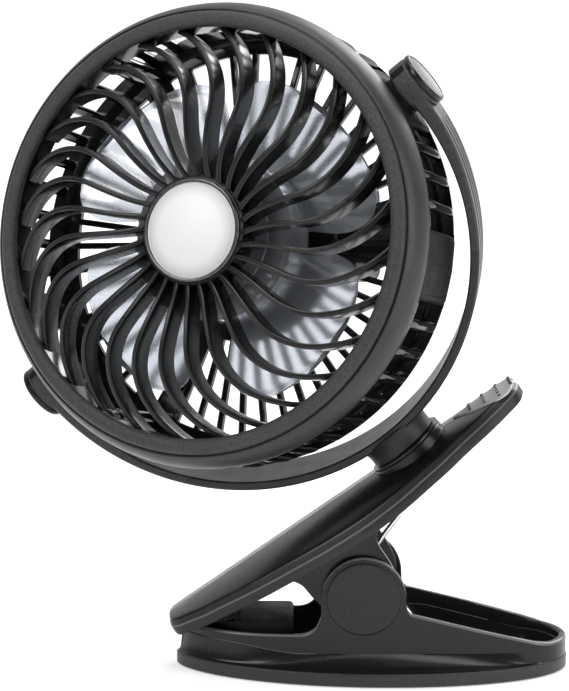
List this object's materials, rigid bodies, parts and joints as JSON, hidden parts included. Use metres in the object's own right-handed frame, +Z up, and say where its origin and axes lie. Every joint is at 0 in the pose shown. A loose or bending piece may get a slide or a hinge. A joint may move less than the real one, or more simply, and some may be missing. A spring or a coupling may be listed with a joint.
{
  "type": "portable camping fan",
  "caption": "Battery camping fan: round caged head that tilts in a ring yoke, which swivels on a sprung clip with a flat base.",
  "frame": {"origin": "on the floor under the middle of the clip's base", "axes": "+X to the clip's grips, -X to its jaws, -Y to the fan's front side, +Z up"},
  "size_m": [0.1821, 0.1042, 0.2119],
  "materials": {
    "black_shell": "satin, fine moulded grain",
    "black_gloss": "glossy",
    "badge_white": "glossy domed",
    "bezel_grey": "glossy",
    "blade_clear": "translucent smoke grey",
    "steel": "zinc plated",
    "motor_steel": "satin",
    "brass": "plated",
    "pad_rubber": "matt",
    "grip_grey": "matt",
    "nylon": "natural",
    "board_green": "solder mask",
    "cell_wrap": "shrink wrap",
    "button_grey": "satin",
    "lens_clear": "clear light guide"
  },
  "bodies": {
    "base": {"lower_arm": "black_shell", "lower_jaw_pad": "pad_rubber", "hinge_pin": "steel", "hinge_covers": "black_shell", "torsion_spring": "steel"},
    "arm": {"upper_arm": "black_shell", "grip_pad": "grip_grey", "upper_jaw_pad": "pad_rubber", "collar_ring": "bezel_grey"},
    "yoke": {"yoke": "black_shell", "knob_caps": "black_shell", "swivel_screw": "steel", "swivel_washer": "steel"},
    "head": {"front_grille": "black_shell", "badge_ring": "bezel_grey", "badge_cap": "badge_white", "rear_housing": "black_gloss", "motor_can": "motor_steel", "motor_bracket": "motor_steel", "motor_screws": "steel", "grille_screws": "steel", "control_cover": "black_shell", "cover_screws": "steel", "battery_cell": "cell_wrap", "battery_contacts": "brass", "circuit_board": "board_green", "button_switch": "black_gloss", "usb_port": "steel", "indicator_lens": "lens_clear", "pivot_screws": "steel", "pivot_washers": "nylon"},
    "fan": {"impeller": "blade_clear", "motor_shaft": "steel"},
    "button": {"power_button": "button_grey"},
    "door": {"battery_door": "black_shell"}
  },
  "joints": [
    {"name": "clip_hinge", "type": "hinge", "parent": "base", "child": "arm", "pos_m": [-0.0031, 0, 0.0259], "axis": [0, 1, 0], "range_deg": [0, 38], "stiffness_Nm_per_rad": 0.8, "springref_deg": -45.84, "deforming": ["torsion_spring"]},
    {"name": "yoke_swivel", "type": "hinge", "parent": "arm", "child": "yoke", "pos_m": [0.01046, 0, 0.07174], "axis": [-0.6494, 0, 0.7604], "continuous": true},
    {"name": "head_tilt", "type": "hinge", "parent": "yoke", "child": "head", "pos_m": [-0.04571, 0, 0.13752], "axis": [0.7482, -0.1788, 0.639], "continuous": true},
    {"name": "impeller_spin", "type": "hinge", "parent": "head", "child": "fan", "pos_m": [-0.05076, -0.01121, 0.14029], "axis": [-0.4005, -0.8895, 0.22], "continuous": true},
    {"name": "power_press", "type": "slide", "parent": "head", "child": "button", "axis": [-0.4005, -0.8895, 0.22], "range_m": [0, 0.0008], "stiffness_N_per_m": 600, "springref_m": -0.0005},
    {"name": "door_slide", "type": "slide", "parent": "head", "child": "door", "axis": [-0.9163, 0.3876, -0.1006], "range_m": [0, 0.008]}
  ]
}
